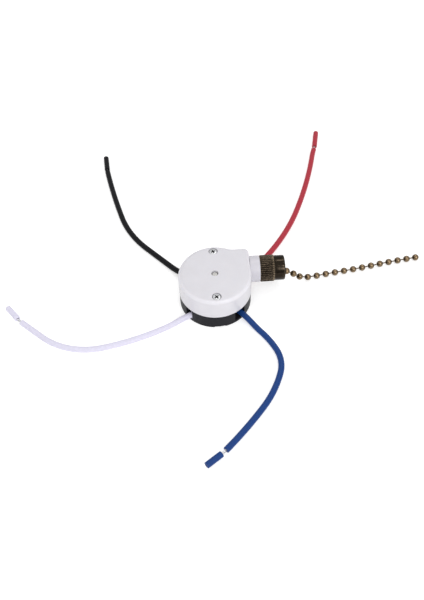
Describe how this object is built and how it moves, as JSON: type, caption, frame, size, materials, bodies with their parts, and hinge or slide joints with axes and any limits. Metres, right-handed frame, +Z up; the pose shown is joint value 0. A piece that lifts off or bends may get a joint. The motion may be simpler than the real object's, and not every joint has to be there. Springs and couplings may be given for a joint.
{
  "type": "pull chain rotary switch",
  "caption": "Round pull-chain rotary switch with a threaded spout, knurled nut, bead chain and colour-coded lead wires.",
  "frame": {"origin": "centre of the round base's bottom face", "axes": "+Z up through the cover, +X along the spout and the pull of the chain, +Y towards the side of the housing that carries the spout"},
  "size_m": [0.2023, 0.2022, 0.0191],
  "materials": {
    "base_black": "black moulded phenolic or nylon, satin",
    "cover_white": "white moulded nylon, satin gloss",
    "screw_steel": "bright zinc-plated steel",
    "pin_metal": "dull plated steel pin",
    "spout_white": "white moulded nylon, satin gloss",
    "antique_bronze": "darkened antique bronze with rubbed edges",
    "drum_plastic": "natural acetal",
    "antique_brass": "antique brass, dark in the hollows",
    "spring_steel": "spring steel",
    "rotor_plastic": "blue-grey acetal",
    "contact_brass": "plain brass",
    "tinned_copper": "tinned copper strands",
    "wire_black": "black PVC insulation",
    "wire_red": "red PVC insulation",
    "wire_white": "white PVC insulation with a faint violet cast",
    "wire_blue": "blue PVC insulation"
  },
  "bodies": {
    "housing": {"base": "base_black", "cover": "cover_white", "cover_screws": "screw_steel", "centre_pin": "pin_metal", "chain_spout": "spout_white", "return_spring": "spring_steel", "black_terminal": "contact_brass", "black_clamp": "spring_steel", "black_wire": "wire_black", "black_core": "tinned_copper", "red_terminal": "contact_brass", "red_clamp": "spring_steel", "red_wire": "wire_red", "red_core": "tinned_copper", "white_terminal": "contact_brass", "white_clamp": "spring_steel", "white_wire": "wire_white", "white_core": "tinned_copper", "blue_terminal": "contact_brass", "blue_clamp": "spring_steel", "blue_wire": "wire_blue", "blue_core": "tinned_copper"},
    "nut": {"knurled_nut": "antique_bronze"},
    "chain": {"straight_chain": "antique_brass"},
    "drum": {"chain_drum": "drum_plastic", "drum_chain": "antique_brass"},
    "indexer": {"rotor": "rotor_plastic", "contact_plate": "contact_brass"},
    "bead_02": {"chain_bead_02": "antique_brass"},
    "bead_03": {"chain_bead_03": "antique_brass"},
    "bead_04": {"chain_bead_04": "antique_brass"},
    "bead_05": {"chain_bead_05": "antique_brass"},
    "bead_06": {"chain_bead_06": "antique_brass"},
    "bead_07": {"chain_bead_07": "antique_brass"},
    "bead_08": {"chain_bead_08": "antique_brass"},
    "bead_09": {"chain_bead_09": "antique_brass"},
    "bead_10": {"chain_bead_10": "antique_brass"},
    "bead_11": {"chain_bead_11": "antique_brass"},
    "bead_12": {"chain_bead_12": "antique_brass"},
    "bead_13": {"chain_bead_13": "antique_brass"},
    "bead_14": {"chain_bead_14": "antique_brass"},
    "bead_15": {"chain_bead_15": "antique_brass"},
    "bead_16": {"chain_bead_16": "antique_brass"},
    "black_tip": {"black_slug": "wire_black"},
    "red_tip": {"red_slug": "wire_red"},
    "white_tip": {"white_slug": "wire_white"},
    "blue_tip": {"blue_slug": "wire_blue"}
  },
  "joints": [
    {"name": "chain_pull", "type": "slide", "parent": "housing", "child": "chain", "axis": [1, 0, 0], "range_m": [0, 0.01193]},
    {"name": "drum_turn", "type": "hinge", "parent": "housing", "child": "drum", "pos_m": [0, 0, 0.01125], "axis": [0, 0, 1], "range_deg": [-90, 0], "deforming": ["return_spring"]},
    {"name": "indexer_turn", "type": "hinge", "parent": "housing", "child": "indexer", "pos_m": [0, 0, 0.0063], "axis": [0, 0, 1], "range_deg": [-90, 0]},
    {"name": "nut_turn", "type": "hinge", "parent": "housing", "child": "nut", "pos_m": [0.03325, 0.0076, 0.01125], "axis": [1, 0, 0], "continuous": true},
    {"name": "swing_02", "type": "hinge", "parent": "chain", "child": "bead_02", "pos_m": [0.03553, 0.00636, 0.00898], "axis": [0.5299, -0.6468, 0.5485], "range_deg": [-30, 30]},
    {"name": "swing_03", "type": "hinge", "parent": "bead_02", "child": "bead_03", "pos_m": [0.03904, 0.00685, 0.00597], "axis": [0.3534, 0.7788, 0.5182], "range_deg": [-30, 30]},
    {"name": "swing_04", "type": "hinge", "parent": "bead_03", "child": "bead_04", "pos_m": [0.04268, 0.0075, 0.00326], "axis": [-0.3901, 0.6462, -0.656], "range_deg": [-30, 30]},
    {"name": "swing_05", "type": "hinge", "parent": "bead_04", "child": "bead_05", "pos_m": [0.04702, 0.00831, 0.00195], "axis": [0.0649, -0.7071, -0.7042], "range_deg": [-30, 30]},
    {"name": "swing_06", "type": "hinge", "parent": "bead_05", "child": "bead_06", "pos_m": [0.05159, 0.00912, 0.00164], "axis": [0.1225, -0.6965, 0.7071], "range_deg": [-30, 30]},
    {"name": "swing_07", "type": "hinge", "parent": "bead_06", "child": "bead_07", "pos_m": [0.05618, 0.00985, 0.00161], "axis": [-0.1005, 0.6999, 0.7071], "range_deg": [-30, 30]},
    {"name": "swing_08", "type": "hinge", "parent": "bead_07", "child": "bead_08", "pos_m": [0.06078, 0.0105, 0.00161], "axis": [-0.0948, 0.7007, -0.7071], "range_deg": [-30, 30]},
    {"name": "swing_09", "type": "hinge", "parent": "bead_08", "child": "bead_09", "pos_m": [0.06539, 0.01114, 0.00161], "axis": [0.1014, -0.6998, -0.7071], "range_deg": [-30, 30]},
    {"name": "swing_10", "type": "hinge", "parent": "bead_09", "child": "bead_10", "pos_m": [0.06999, 0.01184, 0.00161], "axis": [0.1162, -0.6975, 0.7071], "range_deg": [-30, 30]},
    {"name": "swing_11", "type": "hinge", "parent": "bead_10", "child": "bead_11", "pos_m": [0.07457, 0.01263, 0.00161], "axis": [-0.1287, 0.6953, 0.7071], "range_deg": [-30, 30]},
    {"name": "swing_12", "type": "hinge", "parent": "bead_11", "child": "bead_12", "pos_m": [0.07914, 0.01348, 0.00161], "axis": [-0.1303, 0.695, -0.7071], "range_deg": [-30, 30]},
    {"name": "swing_13", "type": "hinge", "parent": "bead_12", "child": "bead_13", "pos_m": [0.08371, 0.01431, 0.00161], "axis": [0.1199, -0.6969, -0.7071], "range_deg": [-30, 30]},
    {"name": "swing_14", "type": "hinge", "parent": "bead_13", "child": "bead_14", "pos_m": [0.0883, 0.01507, 0.00161], "axis": [0.1047, -0.6993, 0.7071], "range_deg": [-30, 30]},
    {"name": "swing_15", "type": "hinge", "parent": "bead_14", "child": "bead_15", "pos_m": [0.0929, 0.01574, 0.00161], "axis": [-0.0953, 0.7007, 0.7071], "range_deg": [-30, 30]},
    {"name": "swing_16", "type": "hinge", "parent": "bead_15", "child": "bead_16", "pos_m": [0.09751, 0.01637, 0.00161], "axis": [-0.0982, 0.7003, -0.7071], "range_deg": [-30, 30]},
    {"name": "black_tip_slide", "type": "slide", "parent": "housing", "child": "black_tip", "axis": [-0.1045, 0.9945, 0], "range_m": [0, 0.0125]},
    {"name": "red_tip_slide", "type": "slide", "parent": "housing", "child": "red_tip", "axis": [0.2198, 0.9755, 0], "range_m": [0, 0.0145]},
    {"name": "white_tip_slide", "type": "slide", "parent": "housing", "child": "white_tip", "axis": [-0.6239, 0.7815, 0], "range_m": [0, 0.0108]},
    {"name": "blue_tip_slide", "type": "slide", "parent": "housing", "child": "blue_tip", "axis": [-0.8181, -0.575, 0], "range_m": [0, 0.01]}
  ],
  "couplings": [
    {"joint": "drum_turn", "follows": "chain_pull", "rad_per_m": -131.58},
    {"joint": "indexer_turn", "follows": "chain_pull", "rad_per_m": -131.58}
  ]
}
